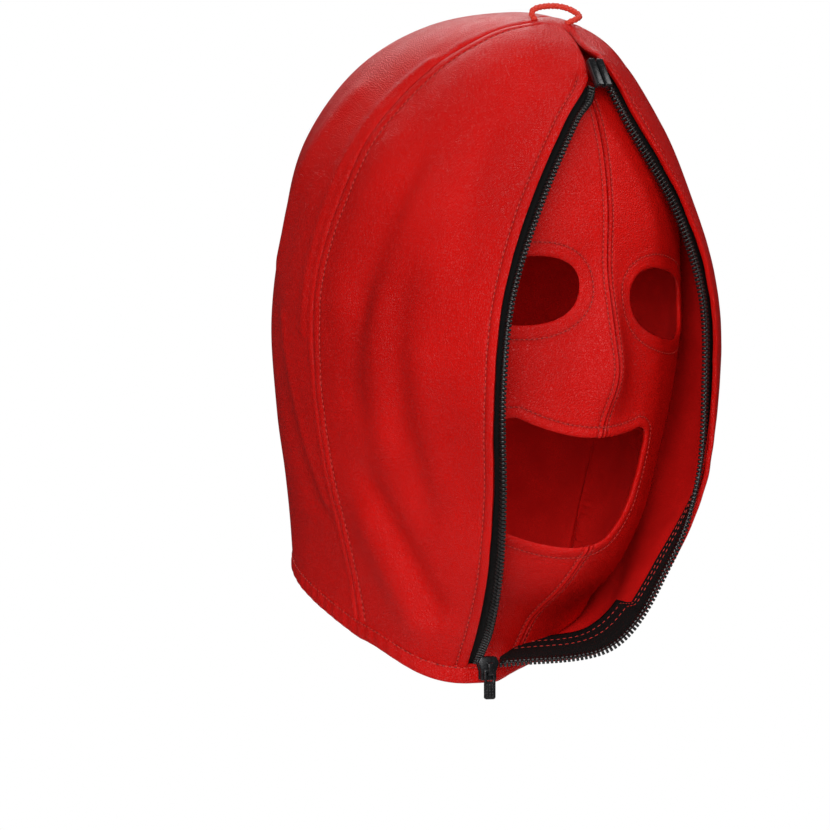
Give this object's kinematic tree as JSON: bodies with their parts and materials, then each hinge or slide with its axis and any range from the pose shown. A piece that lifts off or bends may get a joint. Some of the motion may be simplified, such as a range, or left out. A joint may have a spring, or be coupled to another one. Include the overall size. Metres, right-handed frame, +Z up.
{
  "type": "red leather double hood with zip front and inner face mask",
  "caption": "Loose leather hood with an open front zip over a fitted leather face mask with eye and mouth openings, a bound neck hem and a cord loop at the peak.",
  "frame": {"origin": "inside of the crown over the middle of the head, where the hood sits on a head", "axes": "+Z up, -Y the way the wearer looks, -X the wearer's right"},
  "size_m": [0.1556, 0.2018, 0.285],
  "materials": {
    "outer_leather": "soft semi-gloss red grained leather",
    "mask_leather": "soft semi-matt red grained leather",
    "zip_tape": "black herringbone woven tape",
    "zip_teeth": "black moulded plastic",
    "zip_metal": "black lacquered metal",
    "loop_cord": "red braided cord"
  },
  "bodies": {
    "hood": {"outer_front_right": "outer_leather", "outer_front_left": "outer_leather", "outer_back": "outer_leather", "neck_binding": "outer_leather", "mask_right": "mask_leather", "mask_left": "mask_leather", "zip_tape_right": "zip_tape", "zip_tape_left": "zip_tape", "zip_chain_right": "zip_teeth", "zip_chain_left": "zip_teeth", "zip_top_end": "zip_metal", "zip_slider": "zip_metal", "hang_loop": "loop_cord"},
    "pull": {"zip_pull": "zip_metal"}
  },
  "joints": [
    {"name": "pull_hinge", "type": "hinge", "parent": "hood", "child": "pull", "pos_m": [-0.03029, -0.05211, -0.2679], "axis": [-0.9613, 0.2756, 0], "range_deg": [0, 150]}
  ]
}
